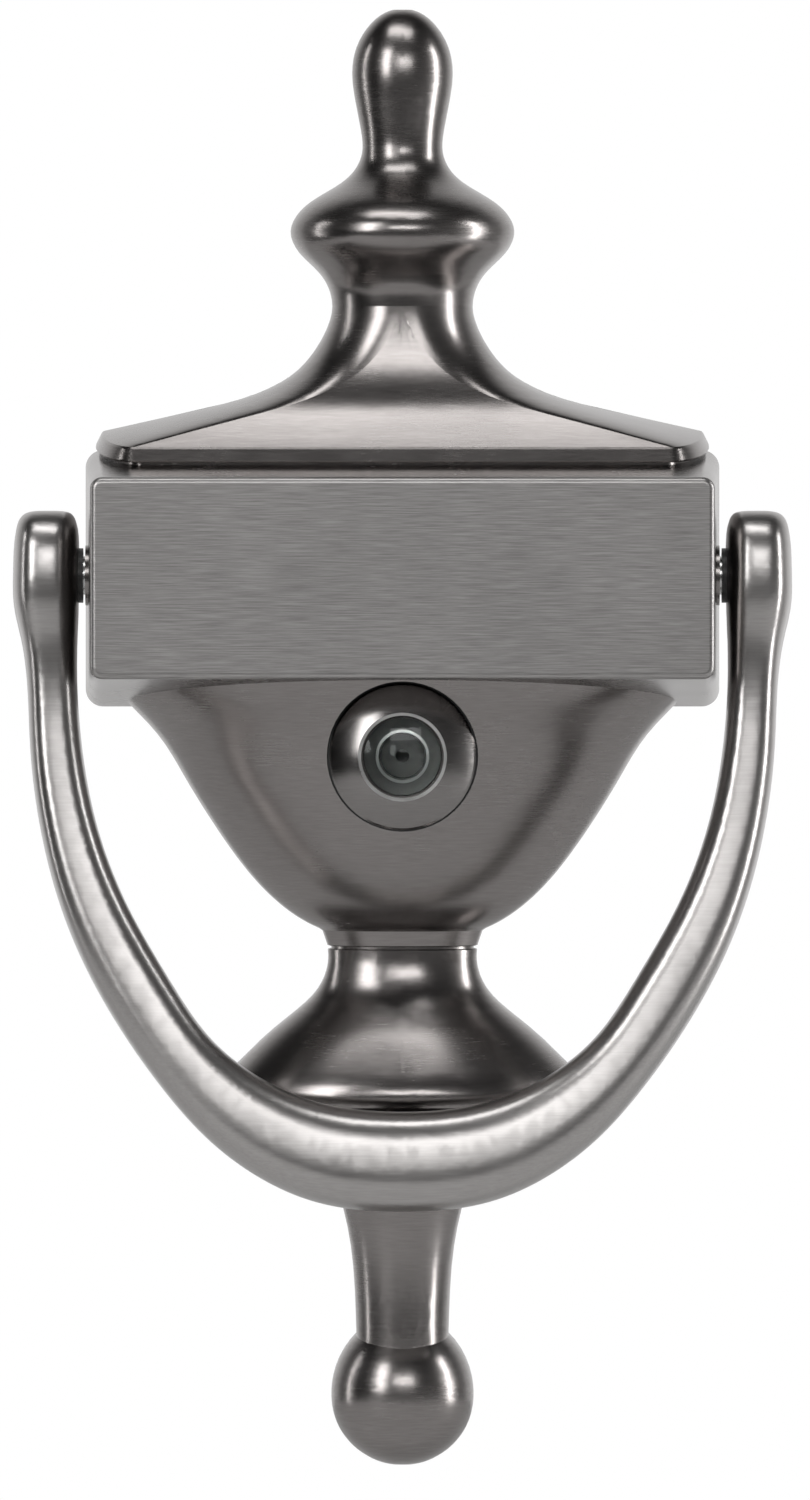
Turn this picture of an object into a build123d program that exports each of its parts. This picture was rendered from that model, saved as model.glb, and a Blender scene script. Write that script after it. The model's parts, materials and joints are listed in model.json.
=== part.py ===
from build123d import *
import math
import os

# Urn-pattern door knocker with an optical door viewer, fitted through a door.
# Millimetres. X runs right, Z up, and the front faces -Y. The door's outer face is Y = 0,
# and "out" below is a distance in front of that face. The origin is midway between the
# two fixing bolts.

# ---- door and fixings ----
DOOR = 44.0
GASKET = 1.0
BOLT_SPACING = 72.0
BOLT_R = 2.5
THREAD_CLEARANCE = 0.05
BOLT_REACH = 9.5
BOLT_HOLE_DEPTH = 10.0
FIXING_BOSS_R = 5.5
WASHER_R = 7.0
WASHER_T = 1.2
BOLT_HEAD_R = 4.6
BOLT_HEAD_T = 3.0
CAP_R = 8.4
CAP_WALL = 0.9
CAP_HEIGHT = 6.4

# ---- casting: flat land at the door, then half-round bodies flattened in depth ----
BACK = GASKET
URN_LAND = 2.0
FINIAL_LAND = 1.0
STEM_LAND = 3.1
BALL_LAND = 2.0
URN_DEPTH_RATIO = 0.61
FLAT = 0.3
WALL = 3.0

# name box: drafted from its rear outline to its front outline
BOX_DEPTH = 26.0
BOX_FRONT = BACK + BOX_DEPTH
BOX_REAR_HALF = 41.4
BOX_REAR_BOTTOM = 17.5
BOX_REAR_TOP = 51.0
BOX_FRONT_HALF = 40.3
BOX_FRONT_BOTTOM = 21.4
BOX_FRONT_TOP = 47.5
BOX_REAR_CORNER = 2.3
BOX_FRONT_CORNER = 1.6
BOX_CAVITY_DEPTH = 23.2

# cornice slab on the box's sloping top, and the roof that sweeps up to the waist
SLAB_TILT = 7.7
SLAB_T = 1.9
SLAB_ARRIS = 0.25
SLAB_REAR_Z = 53.5
SLAB_TOP_HALF = 39.05
SLAB_BOTTOM_HALF = 40.0
SLAB_TOP_DEPTH = 15.9
SLAB_CORNER_X = 4.4
SLAB_CORNER_Y = 13.0
SLAB_FLARE = SLAB_BOTTOM_HALF - SLAB_TOP_HALF
UNDERCUT = 1.0
WAIST_R = 9.17
WAIST_Z = 69.7

# ---- bail and its pivots ----
PIVOT_OUT = 14.0
PIVOT_Z = 34.7
BAIL_TILT = 7.0
PIN_R = 2.5
RUNNING_GAP = 0.05
PIN_HEAD_R = 4.0
PIN_HEAD_T = 1.5
PIN_BOSS_INNER_X = 35.4
PIN_END_X = 48.2
PIVOT_BOSS_R = 4.5
PIVOT_FACE_R = 3.9
PIVOT_FACE_X = 41.15
EAR_INNER_X = 42.05
BUSH_R = 3.45
BUSH_FLANGE_R = 3.55
BUSH_FLANGE_T = 0.6
BUSH_END_X = 48.5
FIT_GAP = 0.04
SECTION_POINTS = 16
FRONT_POWER = 3.3
REAR_POWER = 3.6
FRONT_SHARE = 0.66

STRIKE_Z = -41.5
STRIKE_BOSS_R = 4.6
STRIKE_BOSS_OUT = 17.6
STUD_STEM_R = 2.5
STUD_STEM_LENGTH = 4.0
STUD_HEAD_R = 3.8
STUD_HEAD_T = 1.5

# ---- name plate ----
PLATE_W = 2 * BOX_FRONT_HALF
PLATE_H = BOX_FRONT_TOP - BOX_FRONT_BOTTOM
PLATE_Z = (BOX_FRONT_TOP + BOX_FRONT_BOTTOM) / 2
PLATE_T = 2.0
PLATE_SHADOW_GAP = 0.2
PLATE_PAD_INSET = 1.8
PLATE_EDGE = 0.8
PLATE_STUD_X = 28.0
PLATE_STUD_R = 1.5
PLATE_STUD_LENGTH = 6.4
NUT_FLATS = 5.5
NUT_T = 2.4

# ---- door viewer, all turned about one axis ----
VIEWER_Z = 11.3
BARREL_R = 7.0
BARREL_BOSS_R = 10.6
FLANGE_R = 9.5
SEAL_R = 9.7
FLANGE_SEAT_R = 9.8
SEAT_OUT = 16.6
SEAL_T = 0.8
FLANGE_RIM_OUT = 22.0
FLANGE_LIP_OUT = 23.9
LENS_BORE_R = 5.1
MOUTH_R = 5.75
BEZEL_R = 5.35
CELL_RING_R = 3.5
OUTER_BORE_R = 4.7
THREAD_R = 6.0
THREAD_DEPTH = 0.45
THREAD_PITCH = 1.25
THREAD_START = 4.0
THREAD_END = 30.0
INNER_BARREL_START = 14.0
LENS_SHELF = 40.0
EYEPIECE_R = 11.0
EYEPIECE_T = 2.4
EYE_HOLE_R = 3.6
COVER_PIVOT_RISE = 7.8
COVER_R = 6.2
COVER_T = 1.0
COVER_GAP = 0.25
RIVET_R = 1.0

os.makedirs("parts", exist_ok=True)

FACE = Plane.XZ
VIEWER_PLANE = Plane.XY.offset(VIEWER_Z)
VIEWER_AXIS = Axis((0, 0, VIEWER_Z), (0, 1, 0))
SIDES = {"left": -1, "right": 1}
ENDS = {"upper": 1, "lower": -1}


def save(shape, name):
    """Label a finished piece and write it under its own name."""
    shape.label = name
    export_step(shape, f"parts/{name}.step")


def mix(low, high, share):
    """The value a share of the way from low to high."""
    return low + (high - low) * share


def profile_face(points):
    """Fill the area between a turned edge, given from top to bottom, and the Z axis."""
    top = points[0]
    bottom = points[-1]
    with BuildSketch() as area:
        with BuildLine():
            Spline(*points)
            Polyline(bottom, (0, bottom[1]), (0, top[1]), top)
        make_face()
    return area.sketch


def turned_half(points, land):
    """A turned body cut in half lengthways, standing on a straight land."""
    with BuildPart() as turning:
        with BuildSketch(FACE):
            add(profile_face(points))
        revolve(axis=Axis.Z)
        split(bisect_by=FACE, keep=Keep.TOP)
    with BuildPart() as half:
        with BuildSketch(FACE.offset(BACK)):
            add(profile_face(points))
            mirror(about=Plane.YZ)
        extrude(amount=land)
        with Locations((0, -BACK - land, 0)):
            add(turning.part)
    return half.part


def cornice_plane(rear_z, tilt):
    """A plane across the casting that falls towards the front; its local -Y points out."""
    angle = math.radians(tilt)
    return Plane(
        origin=(0, -BACK, rear_z),
        x_dir=(1, 0, 0),
        z_dir=(0, -math.sin(angle), math.cos(angle)),
    )


def slab_plane(drop):
    """The slab's sloping top plane, lowered square to itself."""
    return cornice_plane(SLAB_REAR_Z - drop / math.cos(math.radians(SLAB_TILT)), SLAB_TILT)


def cornice_outline(half, depth, corner_x, corner_y):
    """A flat-backed plan outline whose two front corners are quarter ellipses."""
    with BuildSketch() as outline:
        with BuildLine():
            Line((half, 0), (half, corner_y - depth))
            EllipticalCenterArc(
                (half - corner_x, corner_y - depth), corner_x, corner_y, 270, arc_size=90
            )
            Line((half - corner_x, -depth), (corner_x - half, -depth))
            EllipticalCenterArc(
                (corner_x - half, corner_y - depth), corner_x, corner_y, 180, arc_size=90
            )
            Polyline((-half, corner_y - depth), (-half, 0), (half, 0))
        make_face()
    return outline.sketch


def half_round_stack(steps, land=URN_LAND, depth_ratio=URN_DEPTH_RATIO, ruled=False):
    """A body through half-elliptical plan outlines at (half width, height) steps."""
    with BuildPart() as stack:
        for half, height in steps:
            round_depth = depth_ratio * (half - FLAT)
            with BuildSketch(cornice_plane(height, 0)):
                add(cornice_outline(half, land + round_depth, half - FLAT, round_depth))
        loft(ruled=ruled)
    return stack.part


def superellipse_half(angle, power):
    """Unit superellipse point; power 2 is a circle and higher powers are squarer."""
    x = math.cos(angle)
    y = math.sin(angle)
    return (
        math.copysign(abs(x) ** (2 / power), x),
        math.copysign(abs(y) ** (2 / power), y),
    )


def bar_section(width, depth):
    """Points round the bail's bar: crowned in front, flatter behind."""
    points = []
    for index in range(SECTION_POINTS):
        angle = 2 * math.pi * index / SECTION_POINTS
        front = math.sin(angle) > 0
        x, y = superellipse_half(angle, FRONT_POWER if front else REAR_POWER)
        reach = FRONT_SHARE if front else 1 - FRONT_SHARE
        points.append((x * width / 2, y * depth * reach))
    return points


# ---- turned edge of the stem, as (radius, height) from top to bottom ----
STEM_EDGE = [
    (11.8, -37.4),
    (9.6, -42.3),
    (7.95, -47.2),
    (6.85, -52.2),
    (6.05, -63.5),
    (5.9, -68.0),
]
# stepped cores that hollow the urn and the foot: (corners of the right half, how far out they reach)
URN_CORES = [
    ([(0, 21.5), (29.5, 21.5), (26.9, 12.5), (18.4, 0.3), (11.0, -7.5), (0, -7.5)], 9.0),
    ([(0, 21.5), (25.0, 21.5), (21.4, 12.5), (12.6, 3.0), (0, 3.0)], 15.0),
]
FOOT_CORE = ([(0, -25.0), (9.0, -25.0), (15.6, -29.6), (16.6, -32.6), (7.0, -38.0), (0, -38.0)], 8.0)

# half widths of the urn, its neck ring and its foot, and the heights they are reached at
URN_STEPS = [
    (38.9, 22.4),
    (37.3, 19.7),
    (35.1, 17.3),
    (31.5, 13.3),
    (28.3, 8.1),
    (25.1, 2.9),
    (21.5, -2.3),
    (19.4, -4.9),
    (15.3, -8.8),
    (10.9, -11.4),
]
RING_STEPS = [(10.9, -11.4), (10.45, -11.7), (9.8, -13.6), (9.3, -13.75), (9.3, -14.05), (9.75, -14.2)]
FOOT_STEPS = [
    (9.75, -14.2),
    (10.0, -17.1),
    (12.0, -20.5),
    (15.0, -23.1),
    (18.1, -25.7),
    (23.0, -30.6),
    (24.2, -32.6),
    (23.2, -34.4),
]
SOLE_STEPS = [(23.2, -34.4), (16.0, -36.6), (9.0, -38.4)]

# ball: round below, drawn out a little above its widest line
BALL_STEPS = [
    (3.2, -62.6),
    (5.2, -63.7),
    (7.4, -66.1),
    (8.85, -69.2),
    (9.3, -72.3),
    (8.8, -75.4),
    (7.1, -78.35),
    (4.3, -80.55),
    (1.3, -81.5),
]

# roof half widths and the heights they are reached at, from the slab up to the waist
ROOF_STEPS = [
    (SLAB_TOP_HALF, SLAB_REAR_Z),
    (35.0, 54.4),
    (31.0, 55.3),
    (25.7, 56.5),
    (20.4, 57.9),
    (16.4, 59.6),
    (13.2, 61.9),
    (11.2, 64.4),
    (9.9, 66.8),
    (9.35, 68.4),
    (WAIST_R, WAIST_Z),
]
# the same for the finial: waist, rounded disc, throat and egg
FINIAL_STEPS = [
    (WAIST_R, WAIST_Z),
    (9.3, 71.0),
    (9.9, 72.7),
    (11.2, 74.5),
    (13.5, 76.8),
    (14.6, 79.6),
    (13.6, 81.9),
    (9.9, 84.7),
    (6.7, 87.0),
    (5.3, 89.7),
    (5.4, 92.6),
    (6.2, 96.8),
    (6.57, 100.3),
    (6.0, 103.6),
    (4.1, 106.7),
    (1.3, 108.45),
]

# ---- blanks of the casting ----
stem = turned_half(STEM_EDGE, STEM_LAND)
finial = half_round_stack(FINIAL_STEPS, FINIAL_LAND, 1)
urn = half_round_stack(URN_STEPS)
neck_ring = half_round_stack(RING_STEPS, ruled=True)
foot = half_round_stack(FOOT_STEPS)
sole = half_round_stack(SOLE_STEPS, ruled=True)
ball = half_round_stack(BALL_STEPS, BALL_LAND, 1)

# roof: plan outlines that turn from the slab's outline into the waist's half round
with BuildPart() as roof:
    for half_width, height in ROOF_STEPS:
        spread = (half_width - WAIST_R) / (SLAB_TOP_HALF - WAIST_R)
        with BuildSketch(cornice_plane(height, SLAB_TILT * spread)):
            add(
                cornice_outline(
                    half_width,
                    mix(FINIAL_LAND + WAIST_R - FLAT, SLAB_TOP_DEPTH, spread),
                    mix(WAIST_R - FLAT, SLAB_CORNER_X, spread),
                    mix(WAIST_R - FLAT, SLAB_CORNER_Y, spread),
                )
            )
    loft()

# slab: thin drafted plate with a small arris along its top and bottom edges
with BuildPart() as slab:
    slab_levels = [
        (0.0, 0.0),
        (SLAB_ARRIS, SLAB_ARRIS),
        (SLAB_T - SLAB_ARRIS, SLAB_FLARE),
        (SLAB_T, SLAB_FLARE - SLAB_ARRIS),
    ]
    for drop, growth in slab_levels:
        with BuildSketch(slab_plane(drop)):
            add(
                cornice_outline(
                    SLAB_TOP_HALF + growth,
                    SLAB_TOP_DEPTH + growth,
                    SLAB_CORNER_X + growth,
                    SLAB_CORNER_Y + growth,
                )
            )
    loft(ruled=True)
    # undercut neck that carries the slab down into the box
    for drop in (SLAB_T / 2, 3 * SLAB_T):
        with BuildSketch(slab_plane(drop)):
            add(
                cornice_outline(
                    SLAB_TOP_HALF - UNDERCUT,
                    SLAB_TOP_DEPTH - UNDERCUT,
                    SLAB_CORNER_X,
                    SLAB_CORNER_Y - UNDERCUT,
                )
            )
    loft(ruled=True)


def box_outline(half, bottom, top, corner):
    """Rounded rectangle of the name box, seen from the front."""
    with BuildSketch() as outline:
        with Locations((0, (bottom + top) / 2)):
            RectangleRounded(2 * half, top - bottom, corner)
    return outline.sketch


with BuildPart() as box:
    with BuildSketch(FACE.offset(BACK)):
        add(box_outline(BOX_REAR_HALF, BOX_REAR_BOTTOM, BOX_REAR_TOP, BOX_REAR_CORNER))
    with BuildSketch(FACE.offset(BOX_FRONT)):
        add(box_outline(BOX_FRONT_HALF, BOX_FRONT_BOTTOM, BOX_FRONT_TOP, BOX_FRONT_CORNER))
    loft(ruled=True)

with BuildPart() as box_cavity:
    with BuildSketch(FACE.offset(BACK)):
        add(
            box_outline(
                BOX_REAR_HALF - WALL,
                BOX_REAR_BOTTOM + WALL,
                BOX_REAR_TOP - WALL,
                BOX_REAR_CORNER,
            )
        )
    with BuildSketch(FACE.offset(BACK + BOX_CAVITY_DEPTH)):
        add(
            box_outline(
                BOX_FRONT_HALF - WALL,
                BOX_FRONT_BOTTOM + WALL,
                BOX_FRONT_TOP - WALL,
                BOX_REAR_CORNER,
            )
        )
    loft(ruled=True)

# ---- body casting ----
with BuildPart() as body_casting:
    add(box.part)
    add(slab.part)
    add(roof.part)
    add(finial)
    add(urn)
    add(neck_ring)
    add(foot)
    add(sole)
    add(stem)
    add(ball)
    # strike boss behind the bail's lowest point
    with BuildSketch(FACE.offset(BACK)):
        with Locations((0, STRIKE_Z)):
            Circle(STRIKE_BOSS_R)
    extrude(amount=STRIKE_BOSS_OUT - BACK)
    # cored hollows open at the back
    add(box_cavity.part, mode=Mode.SUBTRACT)
    for corners, reach in [*URN_CORES, FOOT_CORE]:
        with BuildSketch(FACE.offset(BACK)):
            with BuildLine():
                Polyline(*corners, close=True)
            make_face()
            mirror(about=Plane.YZ)
        extrude(amount=reach - BACK, mode=Mode.SUBTRACT)
    with BuildSketch(FACE.offset(BACK)):
        with Locations((0, SLAB_REAR_Z + 0.4)):
            RectangleRounded(36, 5.6, 2)
    extrude(amount=SLAB_TOP_DEPTH / 2, mode=Mode.SUBTRACT)
    # fixing bosses and viewer boss
    with BuildSketch(FACE.offset(BACK)):
        with Locations((0, BOLT_SPACING / 2)):
            Circle(FIXING_BOSS_R)
    extrude(amount=BOX_CAVITY_DEPTH + 1)
    with BuildSketch(FACE.offset(BACK)):
        with Locations((0, -BOLT_SPACING / 2)):
            Circle(FIXING_BOSS_R)
    extrude(amount=BOLT_HOLE_DEPTH + 2)
    with BuildSketch(FACE.offset(BACK)):
        with Locations((0, VIEWER_Z)):
            Circle(BARREL_BOSS_R)
    extrude(amount=SEAT_OUT - BACK)
    # pivot bosses: a thick one inside the box's side and a low face outside
    for side in SIDES.values():
        pivot_plane = Plane(origin=(0, -PIVOT_OUT, PIVOT_Z), z_dir=(side, 0, 0))
        with BuildSketch(pivot_plane.offset(PIN_BOSS_INNER_X)):
            Circle(PIVOT_BOSS_R)
        extrude(amount=BOX_FRONT_HALF - PIN_BOSS_INNER_X - 0.5)
        with BuildSketch(pivot_plane.offset(BOX_FRONT_HALF - 1)):
            Circle(PIVOT_FACE_R)
        extrude(amount=PIVOT_FACE_X - BOX_FRONT_HALF + 1)
        with BuildSketch(pivot_plane.offset(PIN_BOSS_INNER_X)):
            Circle(PIN_R + RUNNING_GAP)
        extrude(amount=PIVOT_FACE_X - PIN_BOSS_INNER_X, mode=Mode.SUBTRACT)
    # bolt holes, open at the back
    with BuildSketch(FACE.offset(BACK)):
        with Locations((0, BOLT_SPACING / 2), (0, -BOLT_SPACING / 2)):
            Circle(BOLT_R + THREAD_CLEARANCE)
    extrude(amount=BOLT_HOLE_DEPTH, mode=Mode.SUBTRACT)
    # name plate stud holes, viewer bore and the seat for its flange
    with BuildSketch(FACE.offset(BACK + BOX_CAVITY_DEPTH - 1)):
        with Locations((PLATE_STUD_X, PLATE_Z), (-PLATE_STUD_X, PLATE_Z)):
            Circle(PLATE_STUD_R + 3 * THREAD_CLEARANCE)
    extrude(amount=BOX_DEPTH, mode=Mode.SUBTRACT)
    with BuildSketch(FACE.offset(BACK)):
        with Locations((0, VIEWER_Z)):
            Circle(BARREL_R + 0.15)
    extrude(amount=BOX_DEPTH, mode=Mode.SUBTRACT)
    with BuildSketch(FACE.offset(SEAT_OUT)):
        with Locations((0, VIEWER_Z)):
            Circle(FLANGE_SEAT_R)
    extrude(amount=BOX_FRONT - SEAT_OUT - 0.6, mode=Mode.SUBTRACT)
    # hole for the strike stud
    with BuildSketch(FACE.offset(STRIKE_BOSS_OUT - STUD_STEM_LENGTH)):
        with Locations((0, STRIKE_Z)):
            Circle(STUD_STEM_R)
    extrude(amount=STUD_STEM_LENGTH, mode=Mode.SUBTRACT)
save(body_casting.part, "body_casting")

# ---- gasket under the casting's rim ----
rim = body_casting.faces().filter_by(Plane.XZ).group_by(Axis.Y)[-1].sort_by(SortBy.AREA)[-1]
with BuildPart() as rear_gasket:
    extrude(rim, amount=GASKET, dir=(0, 1, 0))
save(rear_gasket.part, "rear_gasket")

# ---- name plate with two studs on its back ----
with BuildPart() as nameplate:
    with BuildSketch(FACE.offset(BOX_FRONT + PLATE_SHADOW_GAP)):
        with Locations((0, PLATE_Z)):
            RectangleRounded(PLATE_W, PLATE_H, BOX_FRONT_CORNER)
    extrude(amount=PLATE_T)
    front_edges = nameplate.faces().sort_by(Axis.Y)[0].edges()
    fillet(front_edges, radius=PLATE_EDGE)
    with BuildSketch(FACE.offset(BOX_FRONT)):
        with Locations((0, PLATE_Z)):
            RectangleRounded(
                PLATE_W - 2 * PLATE_PAD_INSET,
                PLATE_H - 2 * PLATE_PAD_INSET,
                BOX_FRONT_CORNER,
            )
    extrude(amount=PLATE_SHADOW_GAP)
    with BuildSketch(FACE.offset(BOX_FRONT - PLATE_STUD_LENGTH)):
        with Locations((PLATE_STUD_X, PLATE_Z), (-PLATE_STUD_X, PLATE_Z)):
            Circle(PLATE_STUD_R)
    extrude(amount=PLATE_STUD_LENGTH)
save(nameplate.part, "nameplate")

for name, side in SIDES.items():
    with BuildPart() as nut:
        with BuildSketch(FACE.offset(BACK + BOX_CAVITY_DEPTH - NUT_T)):
            with Locations((side * PLATE_STUD_X, PLATE_Z)):
                RegularPolygon(NUT_FLATS / 2, 6, major_radius=False)
                Circle(PLATE_STUD_R + THREAD_CLEARANCE, mode=Mode.SUBTRACT)
        extrude(amount=NUT_T)
    save(nut.part, f"nameplate_nut_{name}")

# ---- pivot pins and bushes ----
for name, side in SIDES.items():
    pivot_plane = Plane(origin=(0, -PIVOT_OUT, PIVOT_Z), z_dir=(side, 0, 0))
    with BuildPart() as pin:
        with BuildSketch(pivot_plane.offset(PIN_BOSS_INNER_X - PIN_HEAD_T)):
            Circle(PIN_HEAD_R)
        extrude(amount=PIN_HEAD_T)
        with BuildSketch(pivot_plane.offset(PIN_BOSS_INNER_X)):
            Circle(PIN_R)
        extrude(amount=PIN_END_X - PIN_BOSS_INNER_X)
        end_edge = pin.edges().filter_by(GeomType.CIRCLE).sort_by(Axis.X)[-1 if side > 0 else 0]
        chamfer(end_edge, length=0.4)
    save(pin.part, f"pivot_pin_{name}")
    with BuildPart() as bush:
        with BuildSketch(pivot_plane.offset(EAR_INNER_X - BUSH_FLANGE_T)):
            Circle(BUSH_FLANGE_R)
        extrude(amount=BUSH_FLANGE_T)
        with BuildSketch(pivot_plane.offset(EAR_INNER_X)):
            Circle(BUSH_R)
        extrude(amount=BUSH_END_X - EAR_INNER_X)
        with BuildSketch(pivot_plane.offset(EAR_INNER_X - BUSH_FLANGE_T)):
            Circle(PIN_R + RUNNING_GAP)
        extrude(amount=BUSH_END_X, mode=Mode.SUBTRACT)
    save(bush.part, f"bail_bush_{name}")

# ---- bail: stations down one arm as (outer, inner, bar depth) ----
# outer and inner are front-view points (half width, height) on the bar's two edges
BAIL_STATIONS = [
    ((48.4, 42.5), (43.2, 42.5), 7.6),
    ((49.7, 41.7), (42.4, 41.7), 11.0),
    ((50.3, 39.6), (EAR_INNER_X, 39.6), 13.8),
    ((50.5, 35.5), (EAR_INNER_X, 35.5), 15.0),
    ((50.4, 31.0), (EAR_INNER_X, 31.0), 14.2),
    ((49.4, 26.2), (42.2, 26.2), 11.6),
    ((48.65, 20.4), (42.2, 20.4), 9.8),
    ((48.2, 11.6), (41.5, 12.0), 9.2),
    ((46.7, 0.9), (39.75, 2.9), 9.0),
    ((43.3, -10.8), (35.9, -7.5), 9.0),
    ((37.4, -22.5), (30.0, -17.9), 9.1),
    ((30.8, -31.9), (24.4, -25.7), 9.3),
    ((23.6, -39.5), (17.6, -30.8), 9.6),
    ((12.6, -45.8), (9.4, -33.9), 9.8),
]
BAIL_BOTTOM = ((0, -47.5), (0, -34.75), 9.9)


def bail_plane(outer, inner, side):
    """Section plane across the bar, and the bar's width there."""
    tilt = math.radians(BAIL_TILT)
    down = Vector(0, -math.sin(tilt), -math.cos(tilt))
    pivot = Vector(0, -PIVOT_OUT, PIVOT_Z)

    def place(point):
        along = (PIVOT_Z - point[1]) / math.cos(tilt)
        return pivot + down * along + Vector(side * point[0], 0, 0)

    across = place(outer) - place(inner)
    front = Vector(0, -math.cos(tilt), math.sin(tilt))
    middle = (place(outer) + place(inner)) / 2
    return Plane(origin=middle, x_dir=across, z_dir=across.cross(front)), across.length


bail_sections = [(outer, inner, depth, 1) for outer, inner, depth in BAIL_STATIONS]
bail_sections.append((*BAIL_BOTTOM, 1))
bail_sections += [(outer, inner, depth, -1) for outer, inner, depth in reversed(BAIL_STATIONS)]

with BuildPart() as knocker_bail:
    for outer, inner, depth, side in bail_sections:
        section_plane, width = bail_plane(outer, inner, side)
        with BuildSketch(section_plane):
            with BuildLine():
                Spline(*bar_section(width, depth), periodic=True)
            make_face()
    loft()
    # blind holes for the bushes, with a flat spot round each
    for side in SIDES.values():
        pivot_plane = Plane(origin=(0, -PIVOT_OUT, PIVOT_Z), z_dir=(side, 0, 0))
        with BuildSketch(pivot_plane.offset(EAR_INNER_X - 1)):
            Circle(BUSH_R + FIT_GAP)
        extrude(amount=BUSH_END_X - EAR_INNER_X + 1 + FIT_GAP, mode=Mode.SUBTRACT)
        with BuildSketch(pivot_plane.offset(EAR_INNER_X - 1)):
            Circle(BUSH_FLANGE_R + 0.4)
        extrude(amount=1, mode=Mode.SUBTRACT)
save(knocker_bail.part, "knocker_bail")

# ---- strike stud under the bail ----
with BuildPart() as strike_stud:
    with BuildSketch(FACE.offset(STRIKE_BOSS_OUT - STUD_STEM_LENGTH)):
        with Locations((0, STRIKE_Z)):
            Circle(STUD_STEM_R)
    extrude(amount=STUD_STEM_LENGTH)
    with BuildSketch(FACE.offset(STRIKE_BOSS_OUT)):
        with Locations((0, STRIKE_Z)):
            Circle(STUD_HEAD_R)
    extrude(amount=STUD_HEAD_T)
    fillet(strike_stud.faces().sort_by(Axis.Y)[0].edges(), radius=0.8)
save(strike_stud.part, "strike_stud")


def turned_about_viewer(points):
    """A piece turned about the viewer's axis from (radius, y) corners."""
    with BuildPart() as turned:
        with BuildSketch(VIEWER_PLANE):
            with BuildLine():
                Polyline(*points, close=True)
            make_face()
        revolve(axis=VIEWER_AXIS)
    return turned.part


def ring(inner, outer, start, end):
    """Corners of a plain ring between two y positions."""
    return [(inner, start), (outer, start), (outer, end), (inner, end)]


# ---- viewer: outer barrel with a coned flange, lens bores and a ringed thread ----
thread_edge = []
for turn in range(int((THREAD_END - THREAD_START) / THREAD_PITCH)):
    start = THREAD_START + turn * THREAD_PITCH
    thread_edge.append((THREAD_R - THREAD_DEPTH, start))
    thread_edge.append((THREAD_R, start + THREAD_PITCH / 2))
thread_edge.append((THREAD_R - THREAD_DEPTH, THREAD_END))

with BuildPart() as viewer_outer_barrel:
    with BuildSketch(VIEWER_PLANE):
        with BuildLine():
            Line((MOUTH_R, -FLANGE_LIP_OUT), (MOUTH_R, -FLANGE_LIP_OUT + 1.4))
            Polyline(
                (MOUTH_R, -FLANGE_LIP_OUT + 1.4),
                (LENS_BORE_R, -FLANGE_LIP_OUT + 1.4),
                (LENS_BORE_R, -12),
                (OUTER_BORE_R, -12),
                (OUTER_BORE_R, THREAD_END),
                (THREAD_R - THREAD_DEPTH, THREAD_END),
            )
            Polyline(*reversed(thread_edge))
            Polyline(
                (THREAD_R - THREAD_DEPTH, THREAD_START),
                (BARREL_R, THREAD_START),
                (BARREL_R, -SEAT_OUT - SEAL_T),
                (FLANGE_R, -SEAT_OUT - SEAL_T),
                (FLANGE_R, -FLANGE_RIM_OUT + 0.4),
                (FLANGE_R - 0.25, -FLANGE_RIM_OUT),
            )
            ThreePointArc(
                (FLANGE_R - 0.25, -FLANGE_RIM_OUT),
                (7.55, -FLANGE_RIM_OUT - 1.1),
                (MOUTH_R, -FLANGE_LIP_OUT),
            )
        make_face()
    revolve(axis=VIEWER_AXIS)
save(viewer_outer_barrel.part, "viewer_outer_barrel")

# rubber cup washer behind the flange and round its edge
seal = turned_about_viewer(
    [
        (BARREL_R + 0.1, -SEAT_OUT),
        (SEAL_R, -SEAT_OUT),
        (SEAL_R, -FLANGE_RIM_OUT + 0.5),
        (FLANGE_R, -FLANGE_RIM_OUT + 0.5),
        (FLANGE_R, -SEAT_OUT - SEAL_T),
        (BARREL_R + 0.1, -SEAT_OUT - SEAL_T),
    ]
)
save(seal, "viewer_seal_ring")

BEZEL_FRONT = -FLANGE_LIP_OUT - 0.15
BEZEL_BACK = -FLANGE_LIP_OUT + 1.4
bezel = turned_about_viewer(ring(BEZEL_R, MOUTH_R, BEZEL_FRONT + 0.3, BEZEL_BACK))
save(bezel, "viewer_bezel_ring")



def dome(rim_radius, rim_y, apex_y):
    """Rim, midway and apex points of a spherical surface centred on the viewer's axis."""
    rise = apex_y - rim_y
    radius = (rim_radius**2 + rise**2) / (2 * abs(rise))
    drop = radius - math.sqrt(radius**2 - (rim_radius / 2) ** 2)
    return (rim_radius, rim_y), (rim_radius / 2, apex_y - math.copysign(drop, rise)), (0, apex_y)


# objective: shallow dome in front, hollow behind
with BuildPart() as objective_lens:
    with BuildSketch(VIEWER_PLANE):
        with BuildLine():
            Line((0, -23.7), (0, -21.6))
            ThreePointArc(*dome(4.0, -19.4, -21.6))
            Polyline((4.0, -19.4), (4.95, -19.4), (4.95, -23.0))
            ThreePointArc(*dome(4.95, -23.0, -23.7))
        make_face()
    revolve(axis=VIEWER_AXIS)
save(objective_lens.part, "objective_lens")

save(turned_about_viewer(ring(CELL_RING_R, 5.0, -19.2, -16.6)), "front_lens_spacer")
save(turned_about_viewer(ring(CELL_RING_R - 0.35, CELL_RING_R, -19.3, -16.6)), "front_cell_ring")
save(turned_about_viewer(ring(0.95, 5.0, -16.4, -15.8)), "aperture_stop")

with BuildPart() as middle_lens:
    with BuildSketch(VIEWER_PLANE):
        with BuildLine():
            ThreePointArc(*dome(4.9, -13.4, -15.0))
            Polyline((4.9, -13.4), (4.9, -12.1), (0, -12.1), (0, -15.0))
        make_face()
    revolve(axis=VIEWER_AXIS)
save(middle_lens.part, "middle_lens")

save(turned_about_viewer(ring(3.5, 4.65, -11.9, 14.0)), "rear_lens_spacer")

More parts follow.
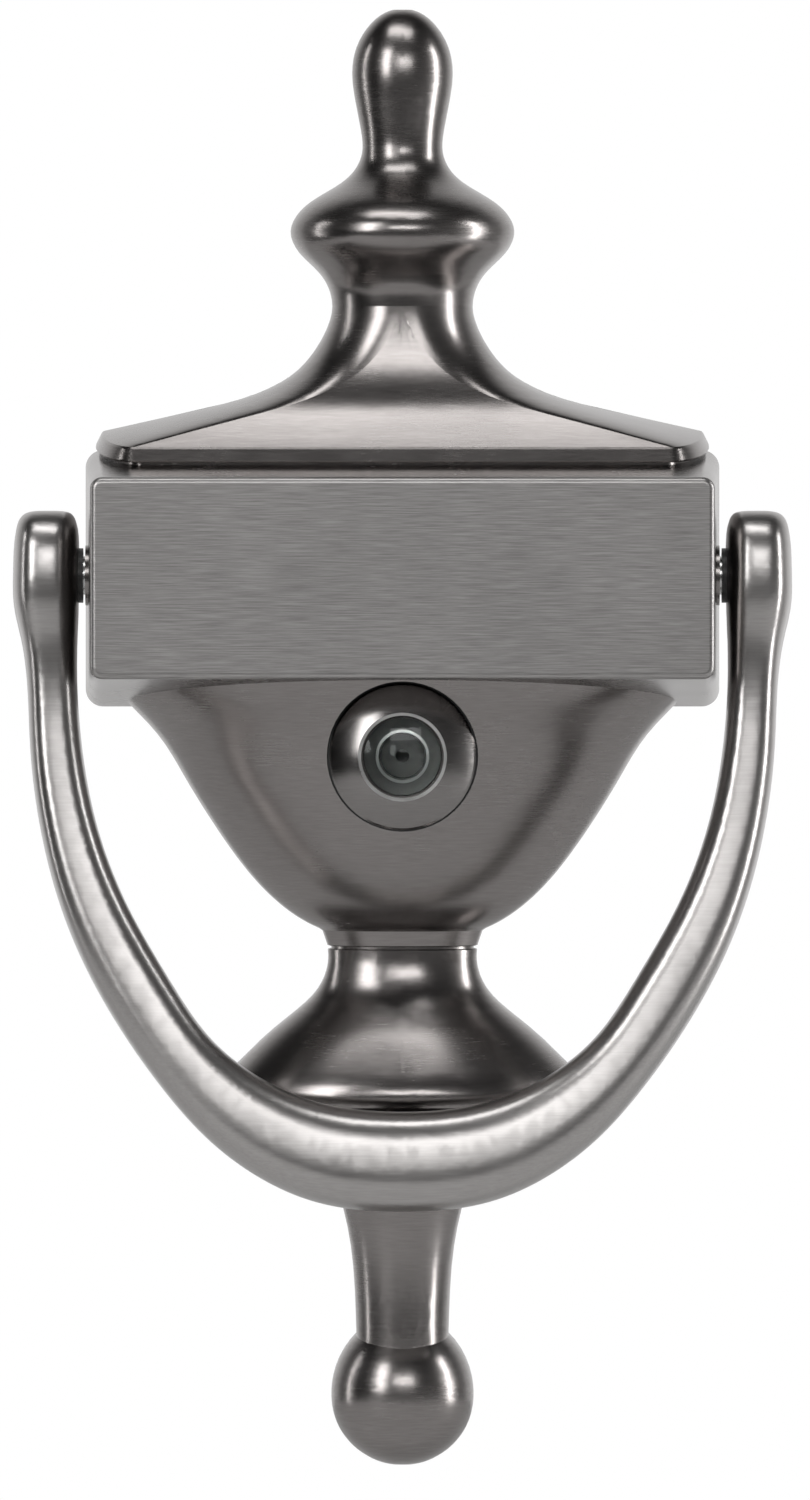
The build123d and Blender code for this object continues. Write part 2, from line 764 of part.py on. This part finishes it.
with BuildPart() as rear_lens:
    with BuildSketch(VIEWER_PLANE):
        with BuildLine():
            ThreePointArc(*dome(4.6, 16.0, 14.6))
            Line((4.6, 16.0), (4.6, 18.0))
            ThreePointArc(*dome(4.6, 18.0, 19.4))
            Line((0, 19.4), (0, 14.6))
        make_face()
    revolve(axis=VIEWER_AXIS)
save(rear_lens.part, "rear_lens")

# ---- viewer: inner barrel, which screws over the outer one from inside ----
EYE_BACK = DOOR + EYEPIECE_T
with BuildPart() as viewer_inner_barrel:
    with BuildSketch(VIEWER_PLANE):
        with BuildLine():
            Polyline(
                (THREAD_R + RUNNING_GAP, INNER_BARREL_START),
                (BARREL_R, INNER_BARREL_START),
                (BARREL_R, DOOR),
                (EYEPIECE_R, DOOR),
                (EYEPIECE_R, EYE_BACK - 1.2),
                (EYEPIECE_R - 0.35, EYE_BACK - 0.45),
                (EYEPIECE_R - 1.1, EYE_BACK),
                (EYE_HOLE_R + 0.8, EYE_BACK),
                (EYE_HOLE_R, EYE_BACK - 0.8),
                (EYE_HOLE_R, DOOR - 0.6),
                (4.4, DOOR - 0.6),
                (4.4, LENS_SHELF),
                (THREAD_R + RUNNING_GAP, LENS_SHELF),
                (THREAD_R + RUNNING_GAP, INNER_BARREL_START),
            )
        make_face()
    revolve(axis=VIEWER_AXIS)
    # blind hole for the cover's rivet, and two coin slots in the rim
    with BuildSketch(FACE.offset(-EYE_BACK)):
        with Locations((0, VIEWER_Z + COVER_PIVOT_RISE)):
            Circle(RIVET_R)
    extrude(amount=1.6, mode=Mode.SUBTRACT)
    with BuildSketch(FACE.offset(-EYE_BACK)):
        with Locations((EYEPIECE_R, VIEWER_Z), (-EYEPIECE_R, VIEWER_Z)):
            Rectangle(4.4, 1.8)
    extrude(amount=1.0, mode=Mode.SUBTRACT)
save(viewer_inner_barrel.part, "viewer_inner_barrel")

with BuildPart() as eyepiece_lens:
    with BuildSketch(VIEWER_PLANE):
        with BuildLine():
            Line((0, 40.1), (4.35, 40.1))
            Line((4.35, 40.1), (4.35, 42.0))
            ThreePointArc(*dome(4.35, 42.0, 43.2))
            Line((0, 43.2), (0, 40.1))
        make_face()
    revolve(axis=VIEWER_AXIS)
save(eyepiece_lens.part, "eyepiece_lens")

save(turned_about_viewer(ring(3.8, THREAD_R, 38.3, LENS_SHELF)), "eyepiece_retaining_ring")

with BuildPart() as cover_rivet:
    with BuildSketch(FACE.offset(-EYE_BACK + 1.6)):
        with Locations((0, VIEWER_Z + COVER_PIVOT_RISE)):
            Circle(RIVET_R)
    extrude(amount=-(1.6 + COVER_T + 2 * COVER_GAP))
    with BuildSketch(FACE.offset(-EYE_BACK - COVER_T - 2 * COVER_GAP)):
        with Locations((0, VIEWER_Z + COVER_PIVOT_RISE)):
            Circle(2 * RIVET_R)
    extrude(amount=-0.7)
    fillet(cover_rivet.faces().sort_by(Axis.Y)[-1].edges(), radius=0.35)
save(cover_rivet.part, "cover_rivet")

with BuildPart() as privacy_cover:
    with BuildSketch(FACE.offset(-EYE_BACK - COVER_GAP)):
        with Locations((0, VIEWER_Z)):
            Circle(COVER_R)
        with BuildLine():
            Polyline(
                (-2.6, VIEWER_Z + COVER_PIVOT_RISE),
                (-4.6, VIEWER_Z + 3.0),
                (4.6, VIEWER_Z + 3.0),
                (2.6, VIEWER_Z + COVER_PIVOT_RISE),
                close=True,
            )
        make_face()
        with Locations((0, VIEWER_Z + COVER_PIVOT_RISE)):
            Circle(2.6)
            Circle(RIVET_R + RUNNING_GAP, mode=Mode.SUBTRACT)
    extrude(amount=-COVER_T)
save(privacy_cover.part, "privacy_cover")

# ---- fixing bolts, cup washers and snap caps on the door's inside ----
for name, end in ENDS.items():
    bolt_z = end * BOLT_SPACING / 2
    with BuildPart() as bolt:
        with BuildSketch(FACE.offset(BACK + BOLT_REACH)):
            with Locations((0, bolt_z)):
                Circle(BOLT_R)
        extrude(amount=-(BACK + BOLT_REACH + DOOR + WASHER_T))
        with BuildSketch(FACE.offset(-DOOR - WASHER_T)):
            with Locations((0, bolt_z)):
                Circle(BOLT_HEAD_R)
        extrude(amount=-BOLT_HEAD_T)
        fillet(bolt.faces().sort_by(Axis.Y)[-1].edges(), radius=1.2)
        with BuildSketch(FACE.offset(-DOOR - WASHER_T - BOLT_HEAD_T)):
            with Locations((0, bolt_z)):
                Rectangle(5.0, 1.0)
                Rectangle(1.0, 5.0)
        extrude(amount=1.6, mode=Mode.SUBTRACT)
    save(bolt.part, f"{name}_fixing_bolt")
    with BuildPart() as washer:
        with BuildSketch(FACE.offset(-DOOR)):
            with Locations((0, bolt_z)):
                Circle(WASHER_R)
                Circle(BOLT_R + 0.2, mode=Mode.SUBTRACT)
        extrude(amount=-WASHER_T)
    save(washer.part, f"{name}_cup_washer")
    with BuildPart() as cap:
        with BuildSketch(FACE.offset(-DOOR)):
            with Locations((0, bolt_z)):
                Circle(CAP_R)
        extrude(amount=-CAP_HEIGHT)
        fillet(cap.faces().sort_by(Axis.Y)[-1].edges(), radius=2.2)
        with BuildSketch(FACE.offset(-DOOR)):
            with Locations((0, bolt_z)):
                Circle(CAP_R - CAP_WALL)
        extrude(amount=-(CAP_HEIGHT - CAP_WALL), mode=Mode.SUBTRACT)
    save(cap.part, f"{name}_cover_cap")
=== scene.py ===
import json
import math

import bpy
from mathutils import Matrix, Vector


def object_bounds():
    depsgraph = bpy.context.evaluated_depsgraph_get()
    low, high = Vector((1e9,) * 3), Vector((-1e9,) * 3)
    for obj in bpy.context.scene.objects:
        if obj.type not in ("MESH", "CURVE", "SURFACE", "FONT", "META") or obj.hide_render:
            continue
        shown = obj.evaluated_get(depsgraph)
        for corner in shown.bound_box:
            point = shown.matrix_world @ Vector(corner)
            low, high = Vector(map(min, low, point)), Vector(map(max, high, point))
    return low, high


# Urn door knocker with a door viewer. Lengths are metres, in the knocker's own frame:
# X right, Z up, front towards -Y, the door's outer face at Y = 0.

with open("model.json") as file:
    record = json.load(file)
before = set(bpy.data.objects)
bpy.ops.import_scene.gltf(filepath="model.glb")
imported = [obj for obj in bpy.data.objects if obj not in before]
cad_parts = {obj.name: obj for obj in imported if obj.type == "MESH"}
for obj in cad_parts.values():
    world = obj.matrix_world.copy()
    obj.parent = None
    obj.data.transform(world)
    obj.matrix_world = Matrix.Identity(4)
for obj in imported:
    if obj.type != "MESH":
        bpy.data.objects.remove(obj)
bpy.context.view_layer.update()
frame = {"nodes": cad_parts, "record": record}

MM = 0.001

# ---- materials: the surface's scale and the directions of its grain ----
EVEN = (1, 1, 1)
ALONG_X = (14.0, 320.0, 320.0)
PLATE_GRAIN = (12.0, 420.0, 420.0)
LEVEL = (30.0, 30.0, 420.0)
ALONG_Y = (300.0, 30.0, 300.0)
TURNED_STEEL = (300.0, 40.0, 300.0)
COVER_GRAIN = (300.0, 300.0, 20.0)

CLOUD_SCALE = 60.0
BUMP_HEIGHT = 0.02 * MM
METAL_WEAR_RADIUS = 0.35 * MM
SOFT_WEAR_RADIUS = 0.2 * MM
# Cosine between the bevelled and the true normal: fully worn at the first, untouched at the second.
WEAR_COSINES = (0.86, 0.995)


def new_material(name):
    """A node material with one Principled shader; returns all three."""
    material = bpy.data.materials.new(name)
    material.use_nodes = True
    tree = material.node_tree
    return material, tree, tree.nodes["Principled BSDF"]


def add_node(tree, kind, inputs=None, **settings):
    """A shader node with its own settings and its unlinked socket values."""
    made = tree.nodes.new(kind)
    for key, value in settings.items():
        setattr(made, key, value)
    for socket, constant in (inputs or {}).items():
        made.inputs[socket].default_value = constant
    return made


def combine(tree, operation, *terms):
    """A maths node over sockets and plain numbers."""
    made = add_node(tree, "ShaderNodeMath", operation=operation)
    for socket, term in zip(made.inputs, terms):
        if isinstance(term, bpy.types.NodeSocket):
            tree.links.new(term, socket)
        else:
            socket.default_value = term
    return made.outputs["Value"]


def stretched_noise(tree, stretch, scale, detail=4.0):
    """Noise in object space drawn out along one direction, as brushing leaves it."""
    coords = add_node(tree, "ShaderNodeTexCoord")
    mapping = add_node(tree, "ShaderNodeMapping", {"Scale": stretch})
    tree.links.new(coords.outputs["Object"], mapping.inputs["Vector"])
    noise = add_node(tree, "ShaderNodeTexNoise", {"Scale": scale, "Detail": detail, "Roughness": 0.6})
    tree.links.new(mapping.outputs["Vector"], noise.inputs["Vector"])
    return noise.outputs["Fac"]


def two_tone(tree, source, dark, light):
    """A grey input coloured from dark at 0.3 to light at 0.7."""
    made = add_node(tree, "ShaderNodeValToRGB")
    for element, place, colour in zip(made.color_ramp.elements, (0.3, 0.7), (dark, light)):
        element.position, element.color = place, (*colour, 1)
    tree.links.new(source, made.inputs["Fac"])
    return made.outputs["Color"]


def spread(tree, source, low, high, start=0.3, end=0.7, curve="LINEAR"):
    """A grey input between start and end, mapped on to low..high."""
    limits = {"From Min": start, "From Max": end, "To Min": low, "To Max": high}
    made = add_node(tree, "ShaderNodeMapRange", limits, interpolation_type=curve)
    tree.links.new(source, made.inputs["Value"])
    return made.outputs["Result"]


def edge_wear(tree, colour, worn, amount, radius):
    """Mixes a worn colour over the edges, found with a bevelled normal."""
    bevel = add_node(tree, "ShaderNodeBevel", {"Radius": radius}, samples=4)
    geometry = add_node(tree, "ShaderNodeNewGeometry")
    cosine = add_node(tree, "ShaderNodeVectorMath", operation="DOT_PRODUCT")
    tree.links.new(bevel.outputs["Normal"], cosine.inputs[0])
    tree.links.new(geometry.outputs["Normal"], cosine.inputs[1])
    mask = spread(tree, cosine.outputs["Value"], amount, 0.0, *WEAR_COSINES)
    mix = add_node(tree, "ShaderNodeMix", data_type="RGBA")
    tree.links.new(mask, mix.inputs["Factor"])
    tree.links.new(colour, mix.inputs["A"])
    mix.inputs["B"].default_value = (*worn, 1)
    return mix.outputs["Result"]


def bump(tree, shader, source, strength, distance=BUMP_HEIGHT):
    """Feeds a grey input to the shader's normal as height."""
    made = add_node(tree, "ShaderNodeBump", {"Strength": strength, "Distance": distance})
    tree.links.new(source, made.inputs["Height"])
    tree.links.new(made.outputs["Normal"], shader.inputs["Normal"])


def plated_metal(name, dark, light, rough, stretch, scale, grain, worn=None, uneven=0.15):
    """Satin plated metal with a directional grain, uneven roughness and lightly worn edges."""
    material, tree, shader = new_material(name)
    fine = stretched_noise(tree, stretch, scale)
    cloudy = stretched_noise(tree, EVEN, CLOUD_SCALE, 2.0)
    tint = edge_wear(tree, two_tone(tree, fine, dark, light), worn or light, 0.35, METAL_WEAR_RADIUS)
    tree.links.new(tint, shader.inputs["Base Color"])
    blotches = combine(tree, "MULTIPLY_ADD", fine, 0.6, spread(tree, cloudy, 0.0, 0.4))
    roughness = spread(tree, blotches, rough * (1 - uneven), rough * (1 + uneven), 0.3, 0.75)
    tree.links.new(roughness, shader.inputs["Roughness"])
    bump(tree, shader, fine, grain)
    shader.inputs["Metallic"].default_value = 1.0
    return material


def soft_material(name, dark, light, rough, scale, grain):
    """Rubber or plastic: mottled colour, uneven roughness and a fine pebbled surface."""
    material, tree, shader = new_material(name)
    mottle = stretched_noise(tree, EVEN, scale)
    tint = edge_wear(tree, two_tone(tree, mottle, dark, light), light, 0.5, SOFT_WEAR_RADIUS)
    tree.links.new(tint, shader.inputs["Base Color"])
    roughness = spread(tree, mottle, rough * 0.85, min(1.0, rough * 1.15))
    tree.links.new(roughness, shader.inputs["Roughness"])
    bump(tree, shader, mottle, grain)
    shader.inputs["Specular IOR Level"].default_value = 0.35
    return material


def coated_glass(name, tint, rough):
    """Coated lens glass. Its low index bends light little, so the pieces behind show clearly."""
    material, tree, shader = new_material(name)
    haze = stretched_noise(tree, EVEN, 300.0)
    pale_tint = tuple(c * 1.05 for c in tint)
    tree.links.new(two_tone(tree, haze, tint, pale_tint), shader.inputs["Base Color"])
    tree.links.new(spread(tree, haze, rough, rough * 2), shader.inputs["Roughness"])
    bump(tree, shader, haze, 0.05, 0.01 * MM)
    shader.inputs["Transmission Weight"].default_value = 1.0
    shader.inputs["IOR"].default_value = 1.12
    shader.inputs["Coat Weight"].default_value = 0.25
    shader.inputs["Coat Roughness"].default_value = 0.02
    return material


NICKEL_DARK = (0.2, 0.19, 0.185)
INSIDE_LIGHT = (0.25, 0.24, 0.233)
BLACK_DARK = (0.012, 0.012, 0.012)
BLACK_LIGHT = (0.03, 0.03, 0.03)

# One finish for each of the record's material slots.
FINISHES = {
    "casting_finish": plated_metal(
        "black_nickel_casting",
        (0.215, 0.2, 0.195),
        (0.265, 0.25, 0.243),
        rough=0.26,
        stretch=LEVEL,
        scale=13.0,
        grain=0.05,
        worn=(0.3, 0.29, 0.28),
        uneven=0.1,
    ),
    "bail_finish": plated_metal(
        "black_nickel_bail",
        (0.35, 0.337, 0.33),
        (0.41, 0.395, 0.388),
        rough=0.31,
        stretch=ALONG_X,
        scale=13.0,
        grain=0.06,
        worn=(0.45, 0.44, 0.43),
        uneven=0.08,
    ),
    "plate_finish": plated_metal(
        "brushed_plate",
        (0.24, 0.232, 0.228),
        (0.42, 0.408, 0.402),
        rough=0.38,
        stretch=PLATE_GRAIN,
        scale=15.0,
        grain=0.14,
        worn=(0.4, 0.39, 0.385),
        uneven=0.04,
    ),
    "viewer_flange_finish": plated_metal(
        "black_nickel_flange",
        NICKEL_DARK,
        (0.24, 0.23, 0.225),
        rough=0.24,
        stretch=LEVEL,
        scale=13.0,
        grain=0.03,
        worn=(0.26, 0.25, 0.245),
    ),
    "stop_finish": soft_material(
        "stop_grey", (0.1, 0.099, 0.098), (0.13, 0.129, 0.127), rough=0.45, scale=900.0, grain=0.05
    ),
    "bright_ring": plated_metal(
        "bright_ring", (0.52, 0.52, 0.51), (0.62, 0.62, 0.61),
        rough=0.32, stretch=EVEN, scale=300.0, grain=0.05,
    ),
    "viewer_inside_finish": plated_metal(
        "black_nickel_inside", NICKEL_DARK, INSIDE_LIGHT, rough=0.27, stretch=ALONG_Y, scale=5.0, grain=0.08
    ),
    "cover_finish": plated_metal(
        "black_nickel_cover", NICKEL_DARK, INSIDE_LIGHT,
        rough=0.27, stretch=COVER_GRAIN, scale=5.0, grain=0.08,
    ),
    "lens_glass": coated_glass("lens_glass", (0.9, 0.93, 0.92), rough=0.02),
    "spacer_plastic": soft_material(
        "spacer_black", BLACK_DARK, BLACK_LIGHT,
        rough=0.55, scale=900.0, grain=0.1,
    ),
    "gasket_rubber": soft_material(
        "gasket_rubber", BLACK_DARK, BLACK_LIGHT,
        rough=0.8, scale=700.0, grain=0.3,
    ),
    "strike_rubber": soft_material(
        "strike_rubber", (0.02, 0.02, 0.02), (0.04, 0.04, 0.04), rough=0.7, scale=700.0, grain=0.25
    ),
    "bush_nylon": soft_material(
        "bush_nylon", (0.05, 0.05, 0.05), (0.09, 0.09, 0.09), rough=0.4, scale=600.0, grain=0.1
    ),
    "steel": plated_metal(
        "zinc_steel", (0.5, 0.5, 0.5), (0.66, 0.66, 0.65),
        rough=0.3, stretch=TURNED_STEEL, scale=5.0, grain=0.12,
    ),
    "cap_finish": plated_metal(
        "black_nickel_cap",
        (0.19, 0.18, 0.175),
        (0.27, 0.26, 0.255),
        rough=0.28,
        stretch=TURNED_STEEL,
        scale=5.0,
        grain=0.1,
    ),
}

slot_of = {part["node"]: part["material_slot"] for part in frame["record"]["subparts"]}
for node_name, node in frame["nodes"].items():
    finish = FINISHES[slot_of[node_name]]
    if not node.material_slots:
        node.data.materials.append(finish)
    for material_slot in node.material_slots:
        material_slot.material = finish


# ---- floor ----
FLOOR_HALF_SIZE = 0.42
FLOOR_DROP = 0.048  # below the knocker's lowest point, out of the camera's frame


def level_square(name, half, z):
    """A flat square at a height."""
    mesh = bpy.data.meshes.new(name)
    corners = [(-half, -half, z), (half, -half, z), (half, half, z), (-half, half, z)]
    mesh.from_pydata(corners, [], [(0, 1, 2, 3)])
    made = bpy.data.objects.new(name, mesh)
    bpy.context.scene.collection.objects.link(made)
    return made


floor = level_square("studio_floor", FLOOR_HALF_SIZE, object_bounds()[0].z - FLOOR_DROP)
floor_material, floor_tree, floor_shader = new_material("studio_floor")
floor_noise = stretched_noise(floor_tree, EVEN, 3.0)
floor_tint = two_tone(floor_tree, floor_noise, (0.84, 0.84, 0.84), (0.88, 0.88, 0.88))
floor_tree.links.new(floor_tint, floor_shader.inputs["Base Color"])
floor_shader.inputs["Roughness"].default_value = 0.7
floor.data.materials.append(floor_material)


# ---- studio light ----
LIT_POINT = Vector((0, 0, 0.012))


def soft_box(name, width, height, place, power):
    """A rectangular area lamp aimed at the knocker's middle; power is in watts."""
    lamp = bpy.data.lights.new(name, "AREA")
    lamp.shape = "RECTANGLE"
    lamp.size = width
    lamp.size_y = height
    lamp.energy = power
    made = bpy.data.objects.new(name, lamp)
    made.location = place
    made.rotation_euler = (LIT_POINT - Vector(place)).to_track_quat("-Z", "Y").to_euler()
    bpy.context.scene.collection.objects.link(made)


soft_box("key_upper_left", 0.4, 0.9, (-0.75, -1.1, 0.5), 8.0)
soft_box("top_front", 0.9, 0.35, (-0.1, -0.42, 1.25), 4.5)
soft_box("right_strip", 0.16, 1.3, (1.1, -0.15, 0.1), 9.0)
soft_box("left_strip", 0.05, 1.0, (-1.1, 0.12, 0.2), 2.0)
soft_box("low_front", 1.1, 0.3, (0.1, -1.15, -0.8), 2.6)
soft_box("front_fill", 1.0, 0.4, (0.1, -2.1, 0.7), 7.5)

# The room is darkest on the left and overhead and bright behind the knocker, whose
# turned-away edges mirror that brightness as thin rims. The camera itself sees white.
world = bpy.data.worlds.new("studio")
bpy.context.scene.world = world
world.use_nodes = True
sky = world.node_tree
room = sky.nodes["Background"]
sky_coords = add_node(sky, "ShaderNodeTexCoord")
direction = add_node(sky, "ShaderNodeSeparateXYZ")
sky.links.new(sky_coords.outputs["Generated"], direction.inputs["Vector"])
across = spread(sky, direction.outputs["X"], 0.004, 0.27, -0.9, 0.9)
above = spread(sky, direction.outputs["Z"], 0.75, 0.12, -0.3, 0.9)
behind = spread(sky, direction.outputs["Y"], 0.0, 0.9, 0.3, 0.85, "SMOOTHSTEP")
sky.links.new(combine(sky, "MULTIPLY_ADD", across, above, behind), room.inputs["Color"])
room.inputs["Strength"].default_value = 1.0
white = add_node(sky, "ShaderNodeBackground", {"Color": (1, 1, 1, 1), "Strength": 1.0})
rays = add_node(sky, "ShaderNodeLightPath")
choose = add_node(sky, "ShaderNodeMixShader")
sky.links.new(rays.outputs["Is Camera Ray"], choose.inputs["Fac"])
sky.links.new(room.outputs["Background"], choose.inputs[1])
sky.links.new(white.outputs["Background"], choose.inputs[2])
sky.links.new(choose.outputs["Shader"], sky.nodes["World Output"].inputs["Surface"])


# ---- camera ----
DISTANCE = 2.0
RISE = math.radians(1.0)
FRAME_HEIGHT = 0.195
SENSOR = 36  # millimetres, square
AIM = Vector((0.00033, -0.012, 0.0120))

scene = bpy.context.scene
scene.view_settings.view_transform = "Standard"
camera_data = bpy.data.cameras.new("camera")
camera_data.sensor_fit = "VERTICAL"
camera_data.sensor_height = SENSOR
camera_data.sensor_width = SENSOR
camera_data.lens = SENSOR * DISTANCE / FRAME_HEIGHT
camera_data.clip_start = 0.05
camera_data.clip_end = 20
camera = bpy.data.objects.new("camera", camera_data)
camera.location = AIM + Vector((0, -math.cos(RISE), math.sin(RISE))) * DISTANCE
camera.rotation_euler = (AIM - camera.location).to_track_quat("-Z", "Y").to_euler()
scene.collection.objects.link(camera)
scene.camera = camera
